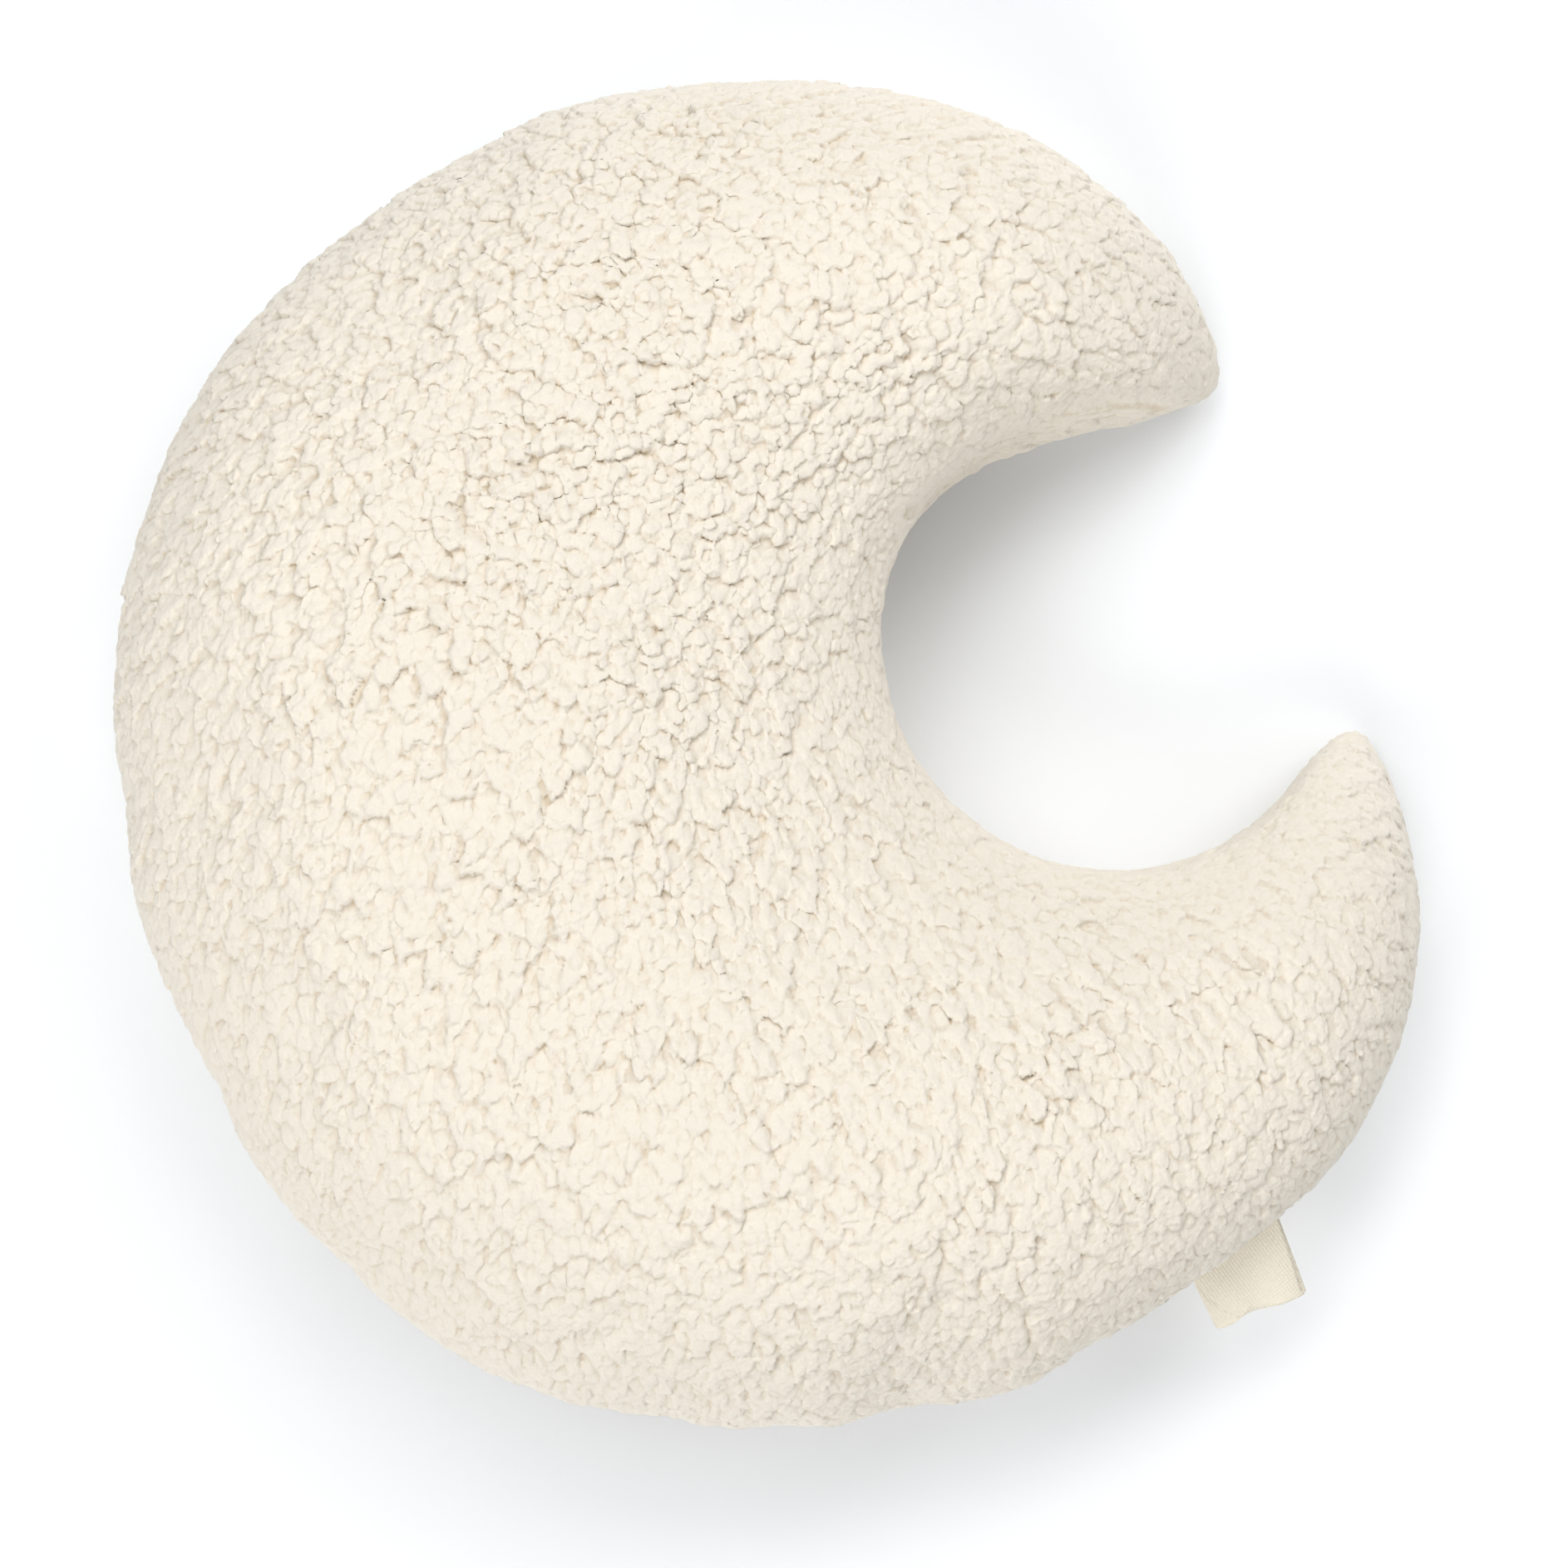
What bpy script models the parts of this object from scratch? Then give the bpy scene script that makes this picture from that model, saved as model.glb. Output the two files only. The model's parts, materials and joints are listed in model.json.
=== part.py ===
"""A crescent-moon cushion of curly pile cloth, lying on its back, with a blank folded label.

Metres, +Z up. The cushion lies on the floor at Z 0, its face up. +X runs along the crescent's middle
line, from the round back to the mouth between the horns. The origin is under the middle of the
bounding box of the cushion and its label.

The cushion is one filled solid: two crescent panels sewn together round their edge, so it has a crown
above and below and a drawn-in seam between them. Its surface is where the tips of the pile reach.
It is lofted through sections that cross the crescent from its outer edge to the edge of its bite.
"""

import bmesh
import bpy
import numpy as np

# The crescent's outline, laid flat. Angles are in degrees, anticlockwise from +X.
OUTER_RADIUS = 0.2074
BITE_CENTRE = np.array([0.1092, -0.0010])
BITE_RADIUS = 0.0679
# The upper horn is the plumper one, and its underside swells into the bite.
BITE_SWELL = 0.0102
BITE_SWELL_ANGLE = 88.0
BITE_SWELL_SPREAD = 33.0
# Each horn's corner before it is rounded, and where the bite's curve turns off towards it.
UPPER_CORNER = np.array([0.1712, 0.0562])
LOWER_CORNER = np.array([0.1758, -0.0490])
UPPER_BITE_END = 60.0
LOWER_BITE_END = 310.0
# The outer edge draws in towards a horn's corner over about this many degrees.
HORN_TAPER_ANGLE = 14.0
CORNER_ROUNDING = 0.0048

# How the outer edge leaves its circle, as it lies: angle, how far out, and over how many degrees.
EDGE_WAVES = (
    # angle, out, spread
    (52.0, 0.0014, 6.0),
    (90.0, 0.0018, 9.0),
    (128.0, 0.0040, 14.0),
    (143.0, 0.0020, 4.0),
    (164.0, -0.0042, 7.0),
    (184.0, -0.0058, 11.0),
    (226.0, 0.0034, 13.0),
    (250.0, 0.0016, 4.0),
    (259.5, -0.0034, 4.0),
    (270.0, 0.0010, 3.5),
    (284.0, -0.0015, 5.0),
    (306.0, 0.0064, 11.0),
    (321.0, 0.0050, 9.0),
)

# Soft creases that run from the outer seam up the side: angle, depth and spread. Each dies away
# round the section at about CREASE_REACH degrees from the seam.
SEAM_CREASES = (
    # angle, depth, spread
    (52.0, 0.0016, 3.0),
    (98.0, 0.0024, 2.6),
    (110.0, 0.0018, 2.2),
    (141.0, 0.0022, 2.8),
    (165.0, 0.0026, 2.6),
    (191.0, 0.0022, 3.0),
    (210.0, 0.0026, 2.4),
    (238.0, 0.0020, 2.6),
    (250.0, 0.0030, 2.2),
    (261.0, 0.0034, 2.2),
    (277.0, 0.0026, 2.2),
    (321.0, 0.0018, 3.0),
)
CREASE_REACH = 38.0

# Hollows and swells of the crown: place, how far up, and how wide.
CROWN_WAVES = (
    # x, y, up, spread
    (-0.060, 0.150, -0.0050, 0.030),
    (0.024, 0.150, -0.0036, 0.022),
    (-0.130, 0.085, 0.0030, 0.045),
    (-0.110, -0.040, -0.0040, 0.040),
    (-0.040, 0.035, 0.0030, 0.035),
    (0.005, -0.050, -0.0034, 0.016),
    (-0.010, -0.135, 0.0030, 0.040),
    (0.105, 0.098, 0.0020, 0.030),
    (0.130, -0.110, 0.0026, 0.028),
)

# The filling. A section much wider than FILLING_WIDTH is FULL_THICKNESS thick, and a narrower one less.
FULL_THICKNESS = 0.116
FILLING_WIDTH = 0.115
# Shares of a section's thickness: the seam's height, and how far the panels reach above and below it.
SEAM_HEIGHT = 0.43
UPPER_SHARE = 0.55
LOWER_SHARE = 0.50
# How full a section is across and up: at 2 it is an ellipse, and above that boxier.
CROWN_FULLNESS = 2.25
SIDE_FULLNESS = 2.1
# The seam's groove, which is shallower where the section is narrow. Its half width is in degrees.
SEAM_GROOVE = 0.0050
GROOVE_SHARE = 0.12
GROOVE_ANGLE = 8.0
# Along the upper horn's underside the upper panel stops short, so the lower one shows past it. It is
# short by LIP where the bite's angle is LIP_ANGLE, and most of all LIP_RISE degrees above the seam.
LIP = 0.0050
LIP_ANGLE = 92.0
LIP_SPREAD = 32.0
LIP_RISE = 17.0
LIP_REACH = 50.0
# The underside lies flat on the floor, and turns up from it over about this height.
FLOOR_EASE = 0.0030

# How the loft is divided: sections along the crescent, and points round each one.
SECTIONS = 104
POINTS_ROUND = 36
SEAM_BUNCHING = 0.10
OUTER_EASING = 0.25
INNER_EASING = -0.30
OUTLINE_STEPS = 720
SHARP_ABOVE = 60.0

# The label: a strip of cotton tape folded once, with its two ends held in the seam. Its corners at
# the fold are (along the seam, outwards) from the middle of its root. It hangs lower towards the
# fold by LABEL_DROOP, arches up in its middle, and its fold is drawn in there by LABEL_NOTCH.
LABEL_ANGLE = -67.3
LABEL_WIDTH = 0.0330
LABEL_FIRST_CORNER = (-0.0175, 0.0190)
LABEL_LAST_CORNER = (0.0084, 0.0245)
LABEL_THICKNESS = 0.0010
LABEL_OPENING = 0.0009
LABEL_ARCH = 0.0030
LABEL_NOTCH = 0.0016
LABEL_FLARE = 0.0012
LABEL_DROOP = 0.0060
LABEL_DROOP_POWER = 1.6
LABEL_ROOT_GAP = 0.0010
LABEL_COLUMNS = 16
LABEL_ROWS = 9
FOLD_STEPS = 6

SHERPA = {"colour": (0.88, 0.82, 0.72), "roughness": 0.95}
COTTON_TAPE = {"colour": (0.86, 0.79, 0.65), "roughness": 0.85}


def clear_scene():
    for obj in list(bpy.data.objects):
        bpy.data.objects.remove(obj, do_unlink=True)


def material(name, colour, roughness):
    made = bpy.data.materials.new(name)
    made.use_nodes = True
    shader = made.node_tree.nodes["Principled BSDF"]
    shader.inputs["Base Color"].default_value = (*colour, 1.0)
    shader.inputs["Roughness"].default_value = roughness
    shader.inputs["Metallic"].default_value = 0.0
    return made


def bell(distance, spread):
    return np.exp(-((distance / spread) ** 2))


def turn_between(angle, other):
    """The turn from one angle to another, in degrees, from -180 to 180."""
    return (angle - other + 180.0) % 360.0 - 180.0


def polar(angle, radius):
    turn = np.radians(angle)
    return np.stack([radius * np.cos(turn), radius * np.sin(turn)], axis=-1)


def angle_of(points):
    return np.degrees(np.arctan2(points[..., 1], points[..., 0]))


def outer_edge(angle):
    """Points of the outer edge at these angles, uneven as the cushion lies and drawn in at the horns."""
    radius = np.full_like(angle, OUTER_RADIUS)
    for place, out, spread in EDGE_WAVES:
        radius += out * bell(turn_between(angle, place), spread)
    for corner, gap in ((UPPER_CORNER, angle - angle_of(UPPER_CORNER)),
                        (LOWER_CORNER, angle_of(LOWER_CORNER) + 360.0 - angle)):
        drawn_in = OUTER_RADIUS - np.linalg.norm(corner)
        radius -= drawn_in * np.exp(-gap / HORN_TAPER_ANGLE)
    return polar(angle, radius)


def bite_edge(angle):
    """Points of the bite's edge at these angles about the bite's own centre."""
    swell = BITE_SWELL * bell(angle - BITE_SWELL_ANGLE, BITE_SWELL_SPREAD)
    return BITE_CENTRE + polar(angle, BITE_RADIUS - swell)


def spaced(points, count):
    """The same line again, with this many points evenly along it."""
    run = np.concatenate([[0.0], np.cumsum(np.linalg.norm(np.diff(points, axis=0), axis=1))])
    at = np.linspace(0.0, run[-1], count)
    return np.stack([np.interp(at, run, points[:, k]) for k in range(2)], axis=1)


def softened(points, spread):
    """A closed line with its corners rounded: each point is the weighted mean of its neighbours."""
    step = np.linalg.norm(np.diff(points, axis=0), axis=1).mean()
    reach = int(3 * spread / step)
    offsets = np.arange(-reach, reach + 1)
    weights = bell(offsets * step, spread * np.sqrt(2.0))
    weights /= weights.sum()
    return sum(w * np.roll(points, -k, axis=0) for k, w in zip(offsets, weights))


def edges():
    """(outer edge, inner edge), each a dense line from the upper horn's tip to the lower horn's."""
    upper, lower = angle_of(UPPER_CORNER), angle_of(LOWER_CORNER) + 360.0
    outer = outer_edge(np.linspace(upper, lower, OUTLINE_STEPS))
    bite = bite_edge(np.linspace(LOWER_BITE_END, UPPER_BITE_END, OUTLINE_STEPS))
    closed = spaced(np.concatenate([outer, bite, outer[:1]]), 2 * OUTLINE_STEPS)[:-1]
    closed = softened(closed, CORNER_ROUNDING)
    tips = [int(np.linalg.norm(closed - corner, axis=1).argmin()) for corner in (UPPER_CORNER, LOWER_CORNER)]
    closed = np.roll(closed, -tips[0], axis=0)
    lower_tip = (tips[1] - tips[0]) % len(closed)
    inner = np.concatenate([closed[lower_tip:], closed[:1]])[::-1]
    return spaced(closed[: lower_tip + 1], OUTLINE_STEPS), spaced(inner, OUTLINE_STEPS)


def along(line, share):
    """Points of an evenly spaced line at shares of its length from 0 to 1."""
    at = share * (len(line) - 1)
    places = np.arange(len(line))
    return np.stack([np.interp(at, places, line[:, k]) for k in range(2)], axis=1)


def eased(share, easing):
    """Shares that bunch at both ends where easing is positive and part there where it is negative."""
    return share - easing * np.sin(2.0 * np.pi * share) / (2.0 * np.pi)


def power(value, exponent):
    return np.sign(value) * np.abs(value) ** exponent


def resting(height):
    """The height above the floor of cloth that would hang to this height: flat at 0 where it rests."""
    eased_height = (height + FLOOR_EASE) ** 2 / (4.0 * FLOOR_EASE)
    return np.where(height < -FLOOR_EASE, 0.0, np.where(height > FLOOR_EASE, height, eased_height))


def thickness(width):
    return FULL_THICKNESS * np.tanh(width / FILLING_WIDTH)


def round_angles():
    """The angles of a section's points, 0 at the outer seam and 180 at the inner, bunched at the seams."""
    share = np.arange(POINTS_ROUND) / (POINTS_ROUND / 2)
    return 180.0 * (share - SEAM_BUNCHING * np.sin(2.0 * np.pi * share))


def section(outer, inner, angles):
    """The closed ring of points round one section, from its two edge points on the outline."""
    chord = inner - outer
    width = np.linalg.norm(chord)
    across = chord / width
    middle = (outer + inner) / 2.0
    turn = np.radians(angles)
    height = thickness(width)

    from_seam = np.minimum(np.abs(turn_between(angles, 0.0)), np.abs(turn_between(angles, 180.0)))
    groove = min(SEAM_GROOVE, GROOVE_SHARE * width) * bell(from_seam, GROOVE_ANGLE)
    place = angle_of(outer)
    crease = sum(depth * bell(turn_between(place, at), spread) for at, depth, spread in SEAM_CREASES)
    pulled_in = crease * bell(turn_between(angles, 0.0), CREASE_REACH)

    lip = LIP * bell(angle_of(inner - BITE_CENTRE) - LIP_ANGLE, LIP_SPREAD)
    short = lip * bell(turn_between(angles, 180.0 - LIP_RISE), LIP_REACH) * (angles < 180.0)

    side = -power(np.cos(turn), 2.0 / CROWN_FULLNESS)
    out = np.abs(side) * (width / 2.0 - groove - pulled_in - short)
    flat = middle + np.outer(np.sign(side) * out, across)

    share = np.where(np.sin(turn) > 0.0, UPPER_SHARE, LOWER_SHARE)
    rise = power(np.sin(turn), 2.0 / SIDE_FULLNESS)
    above = SEAM_HEIGHT * height + share * height * rise
    for x, y, up, spread in CROWN_WAVES:
        away = np.linalg.norm(flat - np.array([x, y]), axis=1)
        above = above + up * bell(away, spread) * np.clip(rise, 0.0, 1.0)
    return np.column_stack([flat, resting(above)])


def lofted_mesh(name, rings, first_tip, last_tip):
    """A closed mesh through rings of points, closed by a fan to a tip at each end."""
    mesh_builder = bmesh.new()
    loops = [[mesh_builder.verts.new(point) for point in ring] for ring in rings]
    count = len(loops[0])
    for loop, following in zip(loops, loops[1:]):
        for k in range(count):
            after = (k + 1) % count
            mesh_builder.faces.new((loop[k], loop[after], following[after], following[k]))
    for loop, tip in ((loops[0], first_tip), (loops[-1], last_tip)):
        end = mesh_builder.verts.new(tip)
        for k in range(count):
            mesh_builder.faces.new((loop[(k + 1) % count], loop[k], end))
    bmesh.ops.recalc_face_normals(mesh_builder, faces=mesh_builder.faces)
    mesh = bpy.data.meshes.new(name)
    mesh_builder.to_mesh(mesh)
    mesh_builder.free()
    return mesh


def cushion_rings(outer, inner):
    """The rings of points round the cushion's sections, from the upper horn to the lower."""
    share = np.arange(1, SECTIONS) / SECTIONS
    outer_points = along(outer, eased(share, OUTER_EASING))
    inner_points = along(inner, eased(share, INNER_EASING))
    angles = round_angles()
    return [section(o, i, angles) for o, i in zip(outer_points, inner_points)]


def cushion_mesh(outer, rings):
    """The cushion's mesh. Each horn's tip is on the outline, at the height of the ring beside it."""
    upper_tip = (*outer[0], rings[0][:, 2].mean())
    lower_tip = (*outer[-1], rings[-1][:, 2].mean())
    return lofted_mesh("cushion", rings, upper_tip, lower_tip)


def seam_line(rings, angle, half_length, count):
    """Points along the bottom of the outer seam's groove, on both sides of this angle."""
    bottom = np.array([ring[0] for ring in rings])
    run = np.concatenate([[0.0], np.cumsum(np.linalg.norm(np.diff(bottom, axis=0), axis=1))])
    middle = np.interp(angle % 360.0, angle_of(bottom) % 360.0, run)
    at = middle + np.linspace(-half_length, half_length, count)
    return np.stack([np.interp(at, run, bottom[:, k]) for k in range(3)], axis=1)


def label_fold():
    """The strip's rows from end to end: how far out, past the fold, up, and how much of the under layer."""
    half_gap = (LABEL_OPENING + LABEL_THICKNESS) / 2.0
    run = np.linspace(0.0, 1.0, LABEL_ROWS)
    bend = np.linspace(0.0, np.pi, FOLD_STEPS + 2)[1:-1]
    out = np.concatenate([run, np.ones(FOLD_STEPS), run[::-1]])
    past = np.concatenate([0.0 * run, half_gap * np.sin(bend), 0.0 * run])
    up = np.concatenate([0.0 * run + half_gap, half_gap * np.cos(bend), 0.0 * run - half_gap])
    return out, past, up, (1.0 - up / half_gap) / 2.0


def label_rows(rings):
    """Rows of points of the folded strip's middle surface, each row from one long edge to the other."""
    seam = seam_line(rings, LABEL_ANGLE, LABEL_WIDTH / 2.0, LABEL_COLUMNS + 1)
    side = seam[-1] - seam[0]
    side /= np.linalg.norm(side)
    outwards = np.cross(side, (0.0, 0.0, 1.0))
    root = seam + outwards * LABEL_ROOT_GAP
    root[:, 2] = seam[:, 2].mean()
    share = np.linspace(-1.0, 1.0, LABEL_COLUMNS + 1)[:, None]
    middle = 1.0 - share**2
    centre = seam.mean(axis=0)
    first, last = (centre + side * x + outwards * y for x, y in (LABEL_FIRST_CORNER, LABEL_LAST_CORNER))
    fold = first + (last - first) * (share + 1.0) / 2.0 - outwards * LABEL_NOTCH * middle
    hang = LABEL_ARCH * middle[:, 0] - LABEL_DROOP
    rows = []
    for out, past, up, under in zip(*label_fold()):
        row = root + (fold - root) * out + outwards * past + side * share * LABEL_FLARE * under * out
        row[:, 2] = root[:, 2] + hang * out**LABEL_DROOP_POWER + up
        rows.append(row)
    return rows


def label_object(rings):
    rows = label_rows(rings)
    mesh_builder = bmesh.new()
    grid = [[mesh_builder.verts.new(point) for point in row] for row in rows]
    for row, following in zip(grid, grid[1:]):
        for k in range(LABEL_COLUMNS):
            mesh_builder.faces.new((row[k], row[k + 1], following[k + 1], following[k]))
    mesh = bpy.data.meshes.new("label")
    mesh_builder.to_mesh(mesh)
    mesh_builder.free()
    label = bpy.data.objects.new("label", mesh)
    cloth = label.modifiers.new("tape thickness", "SOLIDIFY")
    cloth.thickness = LABEL_THICKNESS
    cloth.offset = 0.0
    return label


def shade_round(mesh):
    mesh.shade_smooth()
    mesh.set_sharp_from_angle(angle=np.radians(SHARP_ABOVE))


def centre_over_origin(objects):
    """Moves all the objects so that the middle of their common box is over the origin."""
    bpy.context.view_layer.update()
    graph = bpy.context.evaluated_depsgraph_get()
    corners = []
    for obj in objects:
        shown = obj.evaluated_get(graph)
        corners.extend(np.array(shown.matrix_world @ vertex.co) for vertex in shown.data.vertices)
    corners = np.array(corners)
    middle = (corners.min(axis=0) + corners.max(axis=0)) / 2.0
    for obj in objects:
        obj.location.x -= middle[0]
        obj.location.y -= middle[1]


def main():
    clear_scene()
    parts = bpy.data.collections.new("moon cushion")
    bpy.context.scene.collection.children.link(parts)

    outer, inner = edges()
    rings = cushion_rings(outer, inner)
    cushion = bpy.data.objects.new("cushion", cushion_mesh(outer, rings))
    shade_round(cushion.data)
    cushion.data.materials.append(material("sherpa", **SHERPA))

    label = label_object(rings)
    label.data.materials.append(material("cotton_tape", **COTTON_TAPE))

    for obj in (cushion, label):
        parts.objects.link(obj)
    centre_over_origin([cushion, label])


main()
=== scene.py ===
"""The looks of the crescent-moon cushion: its curly pile, its blank folded label, floor, light and camera.

Metres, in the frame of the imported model: +X towards the crescent's mouth, +Z up, the floor at Z 0.

The pile is modelled. The cushion's own solid reaches to the tips of the pile, so the script takes its
surface, lets the filling press it out as cloth, divides it finely, and sinks it between the curls:
round clumps, then the small nubs on them, then a fine grain. Each clump rises the way the pile lies
and drops steeply at its end, so that the clumps overlap like shingles.
"""

import itertools
import json

import bpy
import numpy as np
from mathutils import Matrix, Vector

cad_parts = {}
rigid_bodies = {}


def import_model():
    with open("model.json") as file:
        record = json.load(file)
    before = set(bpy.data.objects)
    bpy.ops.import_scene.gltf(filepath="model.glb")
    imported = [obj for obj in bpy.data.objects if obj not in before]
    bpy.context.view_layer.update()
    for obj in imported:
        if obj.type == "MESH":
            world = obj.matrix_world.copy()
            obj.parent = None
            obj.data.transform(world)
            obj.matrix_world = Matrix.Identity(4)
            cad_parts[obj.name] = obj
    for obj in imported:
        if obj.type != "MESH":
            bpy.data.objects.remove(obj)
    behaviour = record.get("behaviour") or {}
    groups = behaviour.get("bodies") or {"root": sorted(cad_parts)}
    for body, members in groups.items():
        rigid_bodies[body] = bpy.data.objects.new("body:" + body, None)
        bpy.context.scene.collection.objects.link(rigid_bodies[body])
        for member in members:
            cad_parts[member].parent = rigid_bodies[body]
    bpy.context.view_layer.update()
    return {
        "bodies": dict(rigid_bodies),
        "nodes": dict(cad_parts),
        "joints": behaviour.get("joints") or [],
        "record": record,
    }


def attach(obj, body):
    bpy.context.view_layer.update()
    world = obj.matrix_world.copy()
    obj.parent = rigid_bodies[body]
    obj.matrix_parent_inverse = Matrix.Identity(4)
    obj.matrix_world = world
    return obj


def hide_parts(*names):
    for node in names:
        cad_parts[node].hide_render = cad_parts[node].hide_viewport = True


MM = 0.001

# The cushion's cloth, pressed out by its filling.
CLOTH_VOXEL = 5.0 * MM
CLOTH_INSET = 1.0 * MM
CLOTH_PRESSURE = 4.0
CLOTH_FRAMES = 20
CLOTH_MOST = 3.0 * MM
HOLLOW_ENOUGH = 0.25 * MM
REST_HEIGHT = 1.5 * MM

# The net that the pile is modelled on: fine above and at the sides, coarser underneath.
VOXEL = 3.2 * MM
FACE_LEVELS = 2
UNDERSIDE_LEVELS = 1
FACE_SECTORS = 5
UNDERSIDE_HEIGHT = 20.0 * MM
OVERLAP = 4.0 * MM

# The pile: clumps, the nubs on them and the grain of the nubs. A step is how much the heights of
# neighbours differ, and a tilt how much each rises the way the pile lies.
CLUMP_SIZE = 7.0 * MM
CLUMP_DEPTH = 2.3 * MM
CLUMP_STEP = 1.3 * MM
CLUMP_TILT = 0.9 * MM
CLUMP_CREASE = 0.4 * MM
CLUMP_BULGE = 0.7 * MM
NUB_SIZE = 2.9 * MM
NUB_DEPTH = 1.6 * MM
NUB_STEP = 1.1 * MM
NUB_TILT = 0.4 * MM
NUB_BULGE = 0.5 * MM
GRAIN_SIZE = 1.7 * MM
GRAIN_DEPTH = 0.3 * MM
WARP_SIZE = 5.0 * MM
WARP = 2.4 * MM
NUB_WARP = 0.4
CRACK_SIZE = 26.0 * MM
CRACK_DEPTH = 0.8 * MM
CRACKED_SHARE = 0.55
LEAN = 0.7 * MM
MOST_SPREAD = 1.0 * MM
PATCH_SIZE = 30.0 * MM
PATCH_SHARE = 0.15
RIM_CALM = 0.68
# The painted shade in a crease is full where it is this much deeper than the pile round it.
SHADED_DEPTH = 1.1 * MM
FACE_BLURS = 10
UNDERSIDE_BLURS = 3

# The pile lies away from a place in the crescent's upper half, and down the photograph.
NAP_SOURCE = (14.0 * MM, 110.0 * MM)
NAP_FALL = 85.0 * MM
NAP_SLOPE = 0.5
NAP_REACH = 130.0 * MM
NAP_SHARE = 0.85
# The pile is liveliest near where it lies away from, and calmest far down the crescent.
NEAR_STRENGTH = 0.96
FAR_STRENGTH = 0.58
FAR = 330.0 * MM

# It is pressed flatter in a band round the bite.
BITE_RADIUS = 62.0 * MM
BITE_BAND = 38.0 * MM
BITE_CALM = 0.33

# The seam shows under the upper horn, where the upper panel stops short of the lower one. It is a line
# about the bite's centre, nearest to it at LIP_ANGLE and LIP_BOW further off at LIP_SPREAD from there.
BITE_CENTRE = (120.5 * MM, 1.8 * MM)
LIP_RADIUS = 66.0 * MM
LIP_ANGLE = np.radians(90.5)
LIP_BOW = 4.4 * MM
LIP_SPREAD = np.radians(37.0)
LIP_END = np.radians(42.0)
LIP_DEPTH = 5.5 * MM
LIP_WIDTH = 1.7 * MM

# The label: a strip of tape folded once. Its corners at the seam and at the fold, and their heights.
LABEL_ROOT = ((74.0 * MM, -189.2 * MM), (105.4 * MM, -179.6 * MM))
LABEL_FOLD = ((78.0 * MM, -207.0 * MM), (104.4 * MM, -205.4 * MM))
LABEL_ROOT_HEIGHT = 40.0 * MM
LABEL_FOLD_HEIGHT = 34.0 * MM
LABEL_TUCK = 3.0 * MM
LABEL_ARCH = 3.0 * MM
LABEL_NOTCH = 3.4 * MM
LABEL_UNDER_NOTCH = 1.2 * MM
LABEL_NOTCH_PLACE = 0.36
LABEL_NOTCH_WIDTH = 0.24
LABEL_CRUMPLE = 0.7 * MM
LABEL_WAVES = 1.4
LABEL_CORNER = 5.0 * MM
LABEL_CORNER_SHARE = 0.5
LABEL_FLARE = 1.5 * MM
LABEL_OPENING = 1.8 * MM
LABEL_THICKNESS = 0.6 * MM
LABEL_COLUMNS = 32
LABEL_ROWS = 16
LABEL_FOLD_STEPS = 7
LABEL_TURN = np.radians(17.0)

# Colours, and the sizes of what is drawn as a bump: cells or waves in a metre.
WOOL_COLOUR = (0.80, 0.745, 0.652)
# The crease colour is painted shade: darker and tan where the pile is deep between the curls.
PAINTED_CREASE_SHADE = (0.66, 0.56, 0.42)
TAPE_COLOUR = (0.85, 0.79, 0.66)
FLOOR_COLOUR = (0.92, 0.94, 0.965)
CURL_SCALE = 620.0
CURL_HEIGHT = 0.5 * MM
FIBRE_SCALE = 1600.0
WEAVE_SCALE = 320.0

# The camera looks straight down, turned so that the crescent's mouth points as in the photograph.
PHOTO_PIXELS = 1886
PHOTO_PIXEL = 0.25 * MM
PHOTO_TURN = np.radians(-20.0)
CAMERA_CENTRE = (9.3 * MM, -6.3 * MM)
CAMERA_HEIGHT = 1.25
SEAM_HEIGHT = 50.0 * MM
SENSOR = 0.036

FLOOR_SIZE = 8.0

# Soft boxes stand round the cushion, all as far from it: the way to each in the photograph,
# anticlockwise from the right, its height angle and its power.
BOX_DISTANCE = 2.4
BOX_SIZE = 1.3
SOFT_BOXES = (
    # name, way, height angle, watts
    ("right", 0.0, 52.0, 7.0),
    ("upper_right", 45.0, 35.0, 23.5),
    ("above", 90.0, 48.0, 19.5),
    ("upper_left", 135.0, 58.0, 15.0),
    ("left", 180.0, 45.0, 5.0),
    ("lower_left", 225.0, 35.0, 18.5),
    ("below", 270.0, 35.0, 23.5),
)
ROOM_LIGHT = 0.015


def mesh_points(mesh):
    points = np.empty(len(mesh.vertices) * 3)
    mesh.vertices.foreach_get("co", points)
    return points.reshape(-1, 3)


def mesh_quads(mesh):
    """The corners of its faces as rows of four, of a mesh of quads."""
    corners = np.empty(len(mesh.loops), np.int64)
    mesh.loops.foreach_get("vertex_index", corners)
    return corners.reshape(-1, 4)


def vertex_normals(mesh):
    normals = np.empty(len(mesh.vertices) * 3)
    mesh.vertex_normals.foreach_get("vector", normals)
    return normals.reshape(-1, 3)


def evaluated_copy(obj, name):
    """A new mesh that is what an object's modifiers make of it."""
    graph = bpy.context.evaluated_depsgraph_get()
    made = bpy.data.meshes.new_from_object(obj.evaluated_get(graph))
    made.name = name
    return made


def remeshed(obj, voxel):
    """The same closed form as an even net of quads this large."""
    remesh = obj.modifiers.new("even net", "REMESH")
    remesh.mode = "VOXEL"
    remesh.voxel_size = voxel
    bpy.context.view_layer.update()
    mesh = evaluated_copy(obj, obj.name)
    obj.modifiers.clear()
    obj.data = mesh


def hollowness(mesh):
    """How far each point lies below the middle of its neighbours."""
    points = mesh_points(mesh)
    ends = np.empty(len(mesh.edges) * 2, np.int64)
    mesh.edges.foreach_get("vertices", ends)
    one, other = ends.reshape(-1, 2).T
    total = np.zeros_like(points)
    np.add.at(total, one, points[other])
    np.add.at(total, other, points[one])
    count = np.bincount(ends, minlength=len(points))[:, None]
    return np.einsum("ij,ij->i", total / count - points, vertex_normals(mesh))


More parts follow.
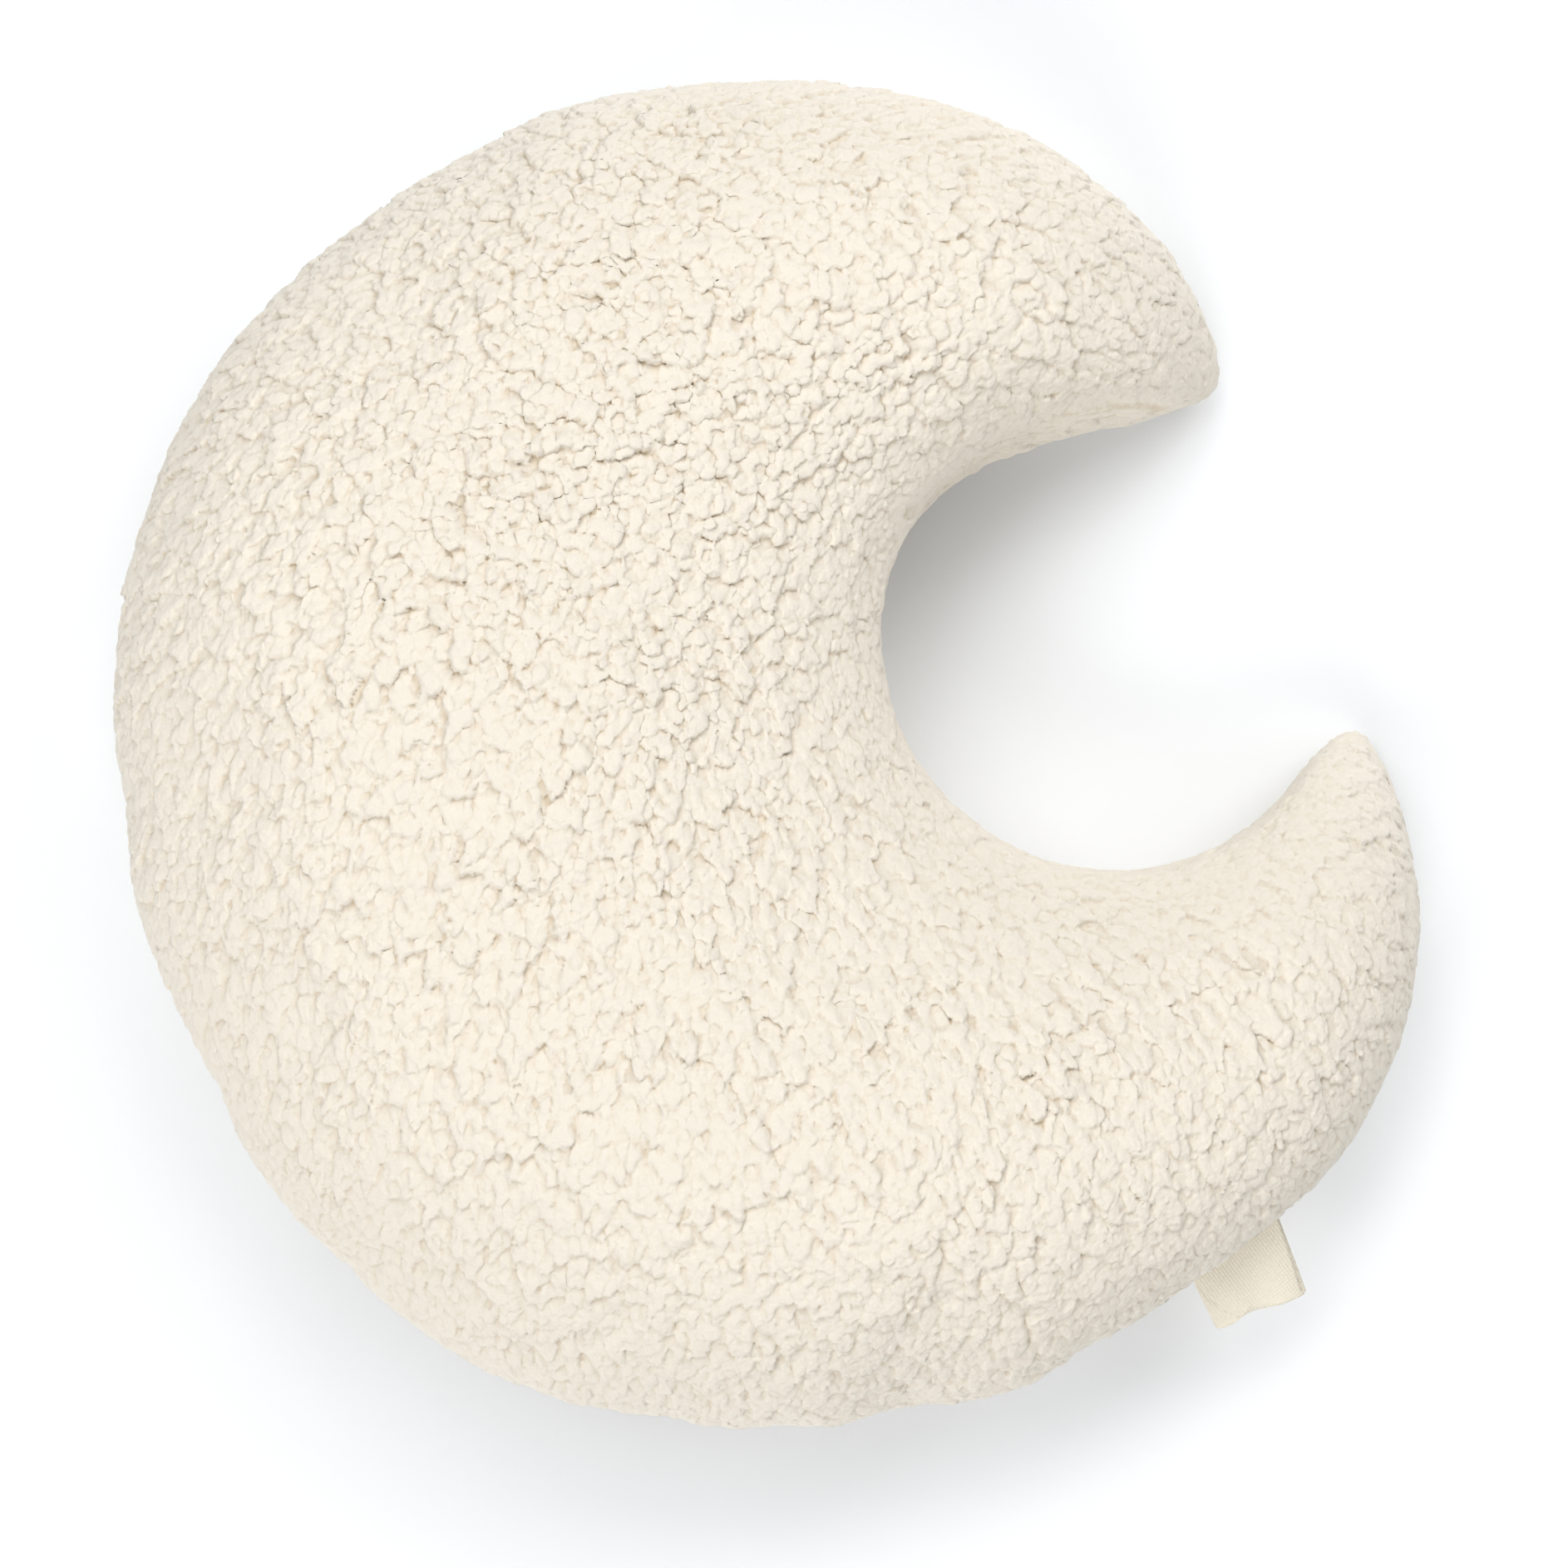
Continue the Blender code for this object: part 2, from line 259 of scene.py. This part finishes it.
def press_out(base):
    """Lets the filling press the cloth out, with its seam and the part that it rests on held."""
    start = mesh_points(base.data)
    held = (hollowness(base.data) > HOLLOW_ENOUGH) | (start[:, 2] < REST_HEIGHT)
    inset = np.where(held[:, None], start, start - CLOTH_INSET * vertex_normals(base.data))
    base.data.vertices.foreach_set("co", inset.ravel())
    group = base.vertex_groups.new(name="held")
    group.add(np.flatnonzero(held).tolist(), 1.0, "REPLACE")
    cloth = base.modifiers.new("filled cloth", "CLOTH")
    cloth.settings.use_pressure = True
    cloth.settings.uniform_pressure_force = CLOTH_PRESSURE
    cloth.settings.effector_weights.gravity = 0.0
    cloth.settings.vertex_group_mass = "held"
    for frame in range(1, CLOTH_FRAMES + 1):
        bpy.context.scene.frame_set(frame)
    pressed = evaluated_copy(base, "pressed")
    base.modifiers.clear()
    bpy.context.scene.frame_set(1)
    moved = mesh_points(pressed) - start
    distance = np.linalg.norm(moved, axis=1, keepdims=True)
    moved *= np.minimum(1.0, CLOTH_MOST / np.maximum(distance, 1e-9))
    base.data.vertices.foreach_set("co", (start + moved).ravel())
    bpy.data.meshes.remove(pressed)


def base_object(node):
    """The cushion's surface as its filling presses it out, as an even net of small quads."""
    base = bpy.data.objects.new("cushion_base", node.data.copy())
    bpy.context.scene.collection.objects.link(base)
    remeshed(base, CLOTH_VOXEL)
    press_out(base)
    remeshed(base, VOXEL)
    return base


def divided(base, levels):
    """(points, quads, normals) of the base subdivided this many times."""
    smooth = base.modifiers.new("divided", "SUBSURF")
    smooth.levels = levels
    bpy.context.view_layer.update()
    mesh = evaluated_copy(base, "divided")
    base.modifiers.clear()
    points, quads, normals = mesh_points(mesh), mesh_quads(mesh), vertex_normals(mesh)
    bpy.data.meshes.remove(mesh)
    return points, quads, normals


def nap_at(points):
    """The way the pile lies at these points, as unit vectors, and how far they are from where it starts."""
    away = points - np.array([*NAP_SOURCE, 0.0])
    away[..., 2] = 0.0
    reach = np.linalg.norm(away, axis=-1, keepdims=True)
    down = np.array(photo_direction(0.0, -1.0))
    way = away + NAP_FALL * down
    way /= np.maximum(np.linalg.norm(way, axis=-1, keepdims=True), 1e-9)
    way[..., 2] = -NAP_SLOPE
    way /= np.linalg.norm(way, axis=-1, keepdims=True)
    return way, reach


def lattice(box, size, seed):
    """Random seeds, one in each cell of a grid over a box, each with its direction, lie and number."""
    draw = np.random.default_rng(seed)
    low = box[0] - 2.0 * size
    count = np.ceil((box[1] - low) / size).astype(int) + 3
    grid = np.stack(np.meshgrid(*(np.arange(n) for n in count), indexing="ij"), axis=-1)
    seeds = low + (grid + draw.random(grid.shape)) * size
    way, reach = nap_at(seeds)
    directions = draw.normal(size=grid.shape)
    directions /= np.linalg.norm(directions, axis=-1, keepdims=True)
    lie = np.minimum(reach / NAP_REACH, 1.0)
    directions += (way - directions) * NAP_SHARE * lie
    directions /= np.linalg.norm(directions, axis=-1, keepdims=True)
    return low, seeds, directions, lie[..., 0], draw.random(grid.shape[:3])


class Cells:
    """Cell noise at some points. Each seed's cell is drawn out along the seed's direction, the more so
    by the second stretch the further the pile has come to lie one way.

    first and second are how far the two nearest seeds are, in cell sizes, to_seed the vector from the
    nearest one, number its own random number, and edge that of the border with the second."""

    def __init__(self, points, box, size, seed, stretch=(0.0, 0.0)):
        low, seeds, directions, lie, numbers = lattice(box, size, seed)
        stretches = stretch[0] + (stretch[1] - stretch[0]) * lie
        place = np.floor((points - low) / size).astype(int)
        first = np.full(len(points), np.inf)
        second = np.full(len(points), np.inf)
        second_number = np.zeros(len(points))
        self.number = np.zeros(len(points))
        self.to_seed = np.zeros_like(points)
        for offset in itertools.product((-1, 0, 1), repeat=3):
            i, j, k = (place + np.array(offset)).T
            away = points - seeds[i, j, k]
            squared = np.einsum("ij,ij->i", away, away)
            squared -= stretches[i, j, k] * np.einsum("ij,ij->i", away, directions[i, j, k]) ** 2
            nearest = squared < first
            next_nearest = ~nearest & (squared < second)
            second_number = np.where(nearest, self.number, second_number)
            second_number[next_nearest] = numbers[i, j, k][next_nearest]
            second = np.where(nearest, first, np.where(next_nearest, squared, second))
            first = np.where(nearest, squared, first)
            self.number[nearest] = numbers[i, j, k][nearest]
            self.to_seed[nearest] = away[nearest]
        self.first = np.sqrt(first) / size
        self.second = np.sqrt(second) / size
        self.to_seed /= size
        self.edge = (7.13 * (self.number + second_number)) % 1.0

    def dome(self, reach, blend):
        """1 on the top of each cell, falling like a ball's side, with the creases between softened."""
        near, far = (np.sqrt(1.0 - np.clip(d / reach, 0.0, 1.0) ** 2) for d in (self.first, self.second))
        return near + 0.25 * blend * (1.0 - np.minimum((near - far) / blend, 1.0)) ** 2

    def crease(self, width):
        """1 in the middle of the crease between two cells, and 0 beyond this distance from it."""
        share = np.clip((self.second - self.first) / width, 0.0, 1.0)
        return 1.0 - np.sqrt(1.0 - (1.0 - share) ** 2)

    def bulge(self, normals, width=0.5):
        """The way out from each cell's seed along the surface, strongest on the cell's shoulder."""
        share = np.clip((self.second - self.first) / width, 0.0, 1.0)
        out = self.to_seed - normals * np.einsum("ij,ij->i", self.to_seed, normals)[:, None]
        out /= np.maximum(np.linalg.norm(out, axis=1, keepdims=True), 1e-9)
        return out * (4.0 * share * (1.0 - share))[:, None]

    def rise(self, nap):
        """How far along the nap from its seed each point is, 1 before the seed and 0 past it."""
        return 0.5 - np.clip(np.einsum("ij,ij->i", self.to_seed, nap), -0.5, 0.5)


def smooth_noise(points, box, size, seed):
    """Three channels of smooth noise from -1 to 1, with features about this large."""
    draw = np.random.default_rng(seed)
    low = box[0] - size
    count = np.ceil((box[1] - low) / size).astype(int) + 3
    values = draw.uniform(-1.0, 1.0, (*count, 3))
    place = (points - low) / size
    cell = np.floor(place).astype(int)
    part = place - cell
    part = part * part * (3.0 - 2.0 * part)
    total = np.zeros_like(points)
    for corner in itertools.product((0, 1), repeat=3):
        corner = np.array(corner)
        weight = np.prod(np.where(corner, part, 1.0 - part), axis=1)
        i, j, k = (cell + corner).T
        total += weight[:, None] * values[i, j, k]
    return total


def lip_drop(points):
    """How far the line under the upper horn, where the upper panel stops, is drawn down."""
    flat = points[:, :2] - np.array(BITE_CENTRE)
    from_lip = np.arctan2(flat[:, 1], flat[:, 0]) - LIP_ANGLE
    line = LIP_RADIUS + LIP_BOW * (from_lip / LIP_SPREAD) ** 2
    across = (np.linalg.norm(flat, axis=1) - line) / LIP_WIDTH
    along = 1.0 / (1.0 + (from_lip / LIP_END) ** 8)
    above = np.clip((points[:, 2] - UNDERSIDE_HEIGHT) / (10.0 * MM), 0.0, 1.0)
    return LIP_DEPTH * np.exp(-(across**2)) * along * above


def pile(points, normals, box):
    """(points moved down into the creases between the curls, how far each has sunk)."""
    nap, reach = nap_at(points)
    warp = smooth_noise(points, box, WARP_SIZE, 11) + 0.4 * smooth_noise(points, box, WARP_SIZE / 3.0, 12)
    warp *= WARP * (1.0 - 0.45 * np.minimum(reach / NAP_REACH, 1.0))
    clumps = Cells(points + warp, box, CLUMP_SIZE, 21, (0.45, 0.84))
    nubs = Cells(points + NUB_WARP * warp, box, NUB_SIZE, 23, (0.45, 0.78))
    grain = Cells(points + NUB_WARP * warp, box, GRAIN_SIZE, 24, (0.3, 0.3))
    torn = Cells(points + 2.0 * WARP * smooth_noise(points, box, 12.0 * MM, 13), box, CRACK_SIZE, 22)
    crack = torn.crease(0.05) * (torn.edge < CRACKED_SHARE)

    clump_dome = clumps.dome(0.95, 0.15)
    clump_drop = CLUMP_DEPTH * (1.0 - clump_dome) + CLUMP_STEP * (1.0 - clumps.number)
    clump_drop += CLUMP_CREASE * clumps.edge * clumps.crease(0.28) + CLUMP_TILT * clumps.rise(nap)
    nub_drop = NUB_DEPTH * (1.0 - nubs.dome(0.85, 0.35)) + NUB_STEP * (1.0 - nubs.number)
    nub_drop += NUB_TILT * nubs.rise(nap)
    drop = clump_drop + nub_drop + GRAIN_DEPTH * (1.0 - grain.dome(0.9, 0.4)) + CRACK_DEPTH * crack

    calm = RIM_CALM + (1.0 - RIM_CALM) * np.clip(normals[:, 2], 0.0, 1.0)
    near = 1.0 - np.clip(reach[:, 0] / FAR, 0.0, 1.0)
    strength = calm * (FAR_STRENGTH + (NEAR_STRENGTH - FAR_STRENGTH) * near)
    strength *= 1.0 + PATCH_SHARE * smooth_noise(points, box, PATCH_SIZE, 31)[:, 0]
    from_bite = np.linalg.norm(points[:, :2] - np.array(BITE_CENTRE), axis=1) - BITE_RADIUS
    strength *= 1.0 - BITE_CALM * np.exp(-((from_bite / BITE_BAND) ** 2))
    spread = clumps.bulge(normals) * (CLUMP_BULGE * clumps.edge)[:, None] + nubs.bulge(normals) * NUB_BULGE
    lean = nap - normals * np.einsum("ij,ij->i", nap, normals)[:, None]
    spread += lean * (LEAN * (clump_dome - 0.6))[:, None]
    spread *= np.minimum(1.0, MOST_SPREAD / np.maximum(np.linalg.norm(spread, axis=1, keepdims=True), 1e-9))
    moved = points + (spread - normals * drop[:, None]) * strength[:, None]
    lip = lip_drop(points)
    moved[:, 2] -= lip
    return moved, drop * strength + lip


def openness(sunk, quads, blurs):
    """1 on the pile's tops, falling to 0 in creases much deeper than the pile round them: the mask for the
    painted shade in the creases.
    """
    count = np.maximum(np.bincount(quads.ravel(), minlength=len(sunk)), 1)
    around = sunk
    for _ in range(blurs):
        mean = around[quads].mean(axis=1)
        around = np.bincount(quads.ravel(), weights=np.repeat(mean, 4), minlength=len(sunk)) / count
    return np.clip(1.0 - (sunk - around) / SHADED_DEPTH, 0.0, 1.0)


def piece_mesh(name, points, quads, height, material):
    """A mesh of these quads alone, with how open each point is to light stored on it, which the material
    paints as shade.
    """
    used, local = np.unique(quads, return_inverse=True)
    mesh = bpy.data.meshes.new(name)
    mesh.vertices.add(len(used))
    mesh.vertices.foreach_set("co", points[used].ravel())
    mesh.loops.add(quads.size)
    mesh.loops.foreach_set("vertex_index", local.ravel())
    mesh.polygons.add(len(quads))
    mesh.polygons.foreach_set("loop_start", np.arange(0, quads.size, 4))
    mesh.update(calc_edges=True)
    mesh.shade_smooth()
    # The stored value is how open each point is to light; the material paints the creases darker and tan by
    # it, as shade.
    stored = mesh.attributes.new("painted_shade_openness", "FLOAT", "POINT")
    stored.data.foreach_set("value", height[used])
    mesh.materials.append(material)
    return mesh, used


def whole_normals(points, quads):
    """Smooth normals of a whole surface, so that pieces cut from it shade as one."""
    one = points[quads[:, 2]] - points[quads[:, 0]]
    other = points[quads[:, 3]] - points[quads[:, 1]]
    facing = np.cross(one, other)
    total = np.zeros_like(points)
    for k in range(4):
        for axis in range(3):
            total[:, axis] += np.bincount(quads[:, k], weights=facing[:, axis], minlength=len(points))
    return total / np.maximum(np.linalg.norm(total, axis=1, keepdims=True), 1e-12)


def add_piece(name, points, quads, height, normals, material):
    # height is how open each point is to light, the mask for the painted shade in the creases.
    mesh, used = piece_mesh(name, points, quads, height, material)
    mesh.normals_split_custom_set_from_vertices(normals[used])
    piece = bpy.data.objects.new(name, mesh)
    bpy.context.scene.collection.objects.link(piece)
    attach(piece, "root")
    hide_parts("cushion")
    return piece


def piled(points, normals, quads, box, blurs):
    """(points with those of these quads moved as pile, how open each is to light)."""
    wanted, local = np.unique(quads, return_inverse=True)
    moved = points.copy()
    height = np.ones(len(points))
    moved[wanted], sunk = pile(points[wanted], normals[wanted], box)
    height[wanted] = openness(sunk, local.reshape(-1, 4), blurs)
    return moved, height


def cushion_pieces(base, material):
    corners = np.array([corner[:] for corner in base.bound_box])
    box = (corners.min(axis=0), corners.max(axis=0))
    points, quads, normals = divided(base, FACE_LEVELS)
    centre = points[quads].mean(axis=1)
    upper = centre[:, 2] > UNDERSIDE_HEIGHT
    face, centre = quads[upper], centre[upper]
    # height is how open each point is to light, the mask for the painted shade in the creases.
    moved, height = piled(points, normals, face, box, FACE_BLURS)
    smooth = whole_normals(moved, face)
    order = np.argsort(np.arctan2(centre[:, 1], centre[:, 0]))
    for number, share in enumerate(np.array_split(order, FACE_SECTORS), start=1):
        add_piece(f"pile_face_{number}", moved, face[share], height, smooth, material)

    points, quads, normals = divided(base, UNDERSIDE_LEVELS)
    under = quads[points[quads].mean(axis=1)[:, 2] < UNDERSIDE_HEIGHT + OVERLAP]
    moved, height = piled(points, normals, under, box, UNDERSIDE_BLURS)
    moved[:, 2] = np.maximum(moved[:, 2], 0.0)
    add_piece("pile_underside", moved, under, height, whole_normals(moved, under), material)


def label_sheet(material):
    """The folded strip of tape: rows of points from its one sewn end over the fold to the other."""
    root, fold = (np.array([(*corner, 0.0) for corner in corners]) for corners in (LABEL_ROOT, LABEL_FOLD))
    side = (fold[1] - fold[0]) / np.linalg.norm(fold[1] - fold[0])
    outwards = (fold - root).mean(axis=0)
    outwards /= np.linalg.norm(outwards)
    share = np.linspace(0.0, 1.0, LABEL_COLUMNS + 1)[:, None]
    middle = 4.0 * share * (1.0 - share)
    root_line = root[0] + (root[1] - root[0]) * share - outwards * LABEL_TUCK
    fold_line = fold[0] + (fold[1] - fold[0]) * share
    notch = outwards * np.exp(-(((share - LABEL_NOTCH_PLACE) / LABEL_NOTCH_WIDTH) ** 2))
    corner = LABEL_CORNER * np.maximum(1.0 - share / LABEL_CORNER_SHARE, 0.0)
    crumple = LABEL_CRUMPLE * np.sin(2.0 * np.pi * LABEL_WAVES * share[:, 0])
    run = np.linspace(0.0, 1.0, LABEL_ROWS)
    bend = np.linspace(0.0, np.pi, LABEL_FOLD_STEPS + 2)[1:-1]
    steps = [(out, 0.0, 1.0) for out in run]
    steps += [(1.0, np.sin(turn), np.cos(turn)) for turn in bend]
    steps += [(out, 0.0, -1.0) for out in run[::-1]]
    rows = []
    for out, past, up in steps:
        depth = LABEL_UNDER_NOTCH + (LABEL_NOTCH - LABEL_UNDER_NOTCH) * (1.0 + up) / 2.0
        row = root_line + (fold_line - notch * depth - root_line) * out
        row += outwards * past * LABEL_OPENING / 2.0
        row += side * corner * out**2 * (1.0 + up) / 2.0
        row += side * (2.0 * share - 1.0) * LABEL_FLARE * out * (1.0 - up) / 2.0
        hang = (LABEL_FOLD_HEIGHT - LABEL_ROOT_HEIGHT + LABEL_ARCH * middle[:, 0]) * out**1.6
        row[:, 2] = LABEL_ROOT_HEIGHT + hang + crumple * out + up * LABEL_OPENING / 2.0 * np.sqrt(out)
        rows.append(row)
    across = LABEL_COLUMNS + 1
    quads = [(r * across + k, r * across + k + 1, (r + 1) * across + k + 1, (r + 1) * across + k)
             for r in range(len(rows) - 1) for k in range(LABEL_COLUMNS)]
    mesh = bpy.data.meshes.new("label_tape")
    mesh.from_pydata(np.concatenate(rows).tolist(), [], quads)
    mesh.shade_smooth()
    mesh.materials.append(material)
    tape = bpy.data.objects.new("label_tape", mesh)
    bpy.context.scene.collection.objects.link(tape)
    cloth = tape.modifiers.new("tape thickness", "SOLIDIFY")
    cloth.thickness = LABEL_THICKNESS
    cloth.offset = 0.0
    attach(tape, "root")
    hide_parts("label")


def new_material(name):
    material = bpy.data.materials.new(name)
    material.use_nodes = True
    tree = material.node_tree
    return material, tree, tree.nodes["Principled BSDF"]


def add_node(tree, kind, **values):
    """A node with these inputs set: numbers and colours are values, and sockets are joined."""
    node = tree.nodes.new(kind)
    for name, value in values.items():
        socket = node.inputs[name.replace("_", " ")]
        if isinstance(value, bpy.types.NodeSocket):
            tree.links.new(value, socket)
        else:
            socket.default_value = value
    return node


def sherpa_material():
    """Cream wool pile, with painted shade in the creases, darker and tan, and tiny curls and fibres as a
    bump.
    """
    material, tree, shader = new_material("sherpa")
    # How open each point is to light: the ramp paints shade from it, the crease shade at 0 and the wool's
    # own colour at 1.
    height = tree.nodes.new("ShaderNodeAttribute")
    height.attribute_name = "painted_shade_openness"
    ramp = tree.nodes.new("ShaderNodeValToRGB")
    ramp.color_ramp.elements[0].position = 0.0
    ramp.color_ramp.elements[0].color = (*PAINTED_CREASE_SHADE, 1.0)
    ramp.color_ramp.elements[1].position = 1.0
    ramp.color_ramp.elements[1].color = (*WOOL_COLOUR, 1.0)
    tree.links.new(height.outputs["Fac"], ramp.inputs["Fac"])
    tree.links.new(ramp.outputs["Color"], shader.inputs["Base Color"])
    place = tree.nodes.new("ShaderNodeTexCoord")
    where = place.outputs["Object"]
    curls = add_node(tree, "ShaderNodeTexVoronoi", Vector=where, Scale=CURL_SCALE).outputs["Distance"]
    curled = add_node(tree, "ShaderNodeBump", Strength=0.45, Distance=CURL_HEIGHT, Height=curls)
    curled.invert = True
    fibres = add_node(tree, "ShaderNodeTexNoise", Vector=where, Scale=FIBRE_SCALE, Detail=2.0)
    fuzzy = add_node(tree, "ShaderNodeBump", Strength=0.25, Distance=0.4 * MM, Height=fibres.outputs["Fac"])
    tree.links.new(curled.outputs["Normal"], fuzzy.inputs["Normal"])
    tree.links.new(fuzzy.outputs["Normal"], shader.inputs["Normal"])
    shader.inputs["Roughness"].default_value = 0.95
    shader.inputs["Specular IOR Level"].default_value = 0.1
    shader.inputs["Sheen Weight"].default_value = 0.1
    shader.inputs["Sheen Roughness"].default_value = 0.5
    shader.inputs["Subsurface Weight"].default_value = 0.25
    shader.inputs["Subsurface Radius"].default_value = (1.0, 0.95, 0.9)
    shader.inputs["Subsurface Scale"].default_value = 1.0 * MM
    return material


def tape_material():
    """Cream cotton tape, with a fine plain weave of crossing waves as a bump."""
    material, tree, shader = new_material("cotton_tape")
    place = tree.nodes.new("ShaderNodeTexCoord")
    turned = add_node(tree, "ShaderNodeMapping", Vector=place.outputs["Object"])
    turned.inputs["Rotation"].default_value = (0.0, 0.0, -LABEL_TURN)
    ribs = add_node(tree, "ShaderNodeTexWave", Vector=turned.outputs["Vector"], Scale=WEAVE_SCALE)
    ribs.bands_direction = "Y"
    warps = add_node(tree, "ShaderNodeTexWave", Vector=turned.outputs["Vector"], Scale=WEAVE_SCALE)
    woven = add_node(tree, "ShaderNodeMath", Value=ribs.outputs["Fac"])
    tree.links.new(warps.outputs["Fac"], woven.inputs[1])
    bump = add_node(tree, "ShaderNodeBump", Strength=0.4, Distance=0.0003, Height=woven.outputs["Value"])
    tree.links.new(bump.outputs["Normal"], shader.inputs["Normal"])
    shader.inputs["Base Color"].default_value = (*TAPE_COLOUR, 1.0)
    shader.inputs["Roughness"].default_value = 0.85
    shader.inputs["Specular IOR Level"].default_value = 0.2
    return material


def build_floor():
    half = FLOOR_SIZE / 2.0
    mesh = bpy.data.meshes.new("floor")
    corners = [(-half, -half, 0.0), (half, -half, 0.0), (half, half, 0.0), (-half, half, 0.0)]
    mesh.from_pydata(corners, [], [(0, 1, 2, 3)])
    floor = bpy.data.objects.new("floor", mesh)
    bpy.context.scene.collection.objects.link(floor)
    material, _, shader = new_material("floor_white")
    shader.inputs["Base Color"].default_value = (*FLOOR_COLOUR, 1.0)
    shader.inputs["Roughness"].default_value = 0.9
    shader.inputs["Specular IOR Level"].default_value = 0.1
    floor.data.materials.append(material)


def photo_direction(right, up):
    """A level direction that is this far right and up in the photograph, in the model's frame."""
    c, s = np.cos(PHOTO_TURN), np.sin(PHOTO_TURN)
    return Vector((right * c - up * s, right * s + up * c, 0.0))


def area_light(name, right, up, height, size, power):
    """A square light over a place given as in the photograph, pointing at the cushion."""
    light = bpy.data.lights.new(name, "AREA")
    light.energy = power
    light.size = size
    light.color = (1.0, 1.0, 1.0)
    lamp = bpy.data.objects.new(name, light)
    lamp.location = photo_direction(right, up) + Vector((0.0, 0.0, height))
    lamp.rotation_mode = "QUATERNION"
    lamp.rotation_quaternion = (-lamp.location).to_track_quat("-Z", "Y")
    bpy.context.scene.collection.objects.link(lamp)
    return lamp


def build_light():
    for name, way, height, watts in SOFT_BOXES:
        level = BOX_DISTANCE * np.cos(np.radians(height))
        right, up = level * np.cos(np.radians(way)), level * np.sin(np.radians(way))
        area_light(name, right, up, BOX_DISTANCE * np.sin(np.radians(height)), BOX_SIZE, watts)
    world = bpy.data.worlds.new("studio")
    world.use_nodes = True
    background = world.node_tree.nodes["Background"]
    background.inputs["Color"].default_value = (1.0, 1.0, 1.0, 1.0)
    background.inputs["Strength"].default_value = ROOM_LIGHT
    bpy.context.scene.world = world


def build_camera():
    camera = bpy.data.cameras.new("camera")
    camera.sensor_width = SENSOR * 1000.0
    across = PHOTO_PIXELS * PHOTO_PIXEL
    camera.lens = camera.sensor_width * (CAMERA_HEIGHT - SEAM_HEIGHT) / across
    holder = bpy.data.objects.new("camera", camera)
    holder.location = (*CAMERA_CENTRE, CAMERA_HEIGHT)
    holder.rotation_euler = (0.0, 0.0, PHOTO_TURN)
    bpy.context.scene.collection.objects.link(holder)
    bpy.context.scene.camera = holder


def main():
    for obj in list(bpy.data.objects):
        bpy.data.objects.remove(obj, do_unlink=True)
    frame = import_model()
    bpy.context.scene.view_settings.view_transform = "Standard"

    base = base_object(frame["nodes"]["cushion"])
    cushion_pieces(base, sherpa_material())
    bpy.data.objects.remove(base, do_unlink=True)

    label_sheet(tape_material())

    build_floor()
    build_light()
    build_camera()


main()
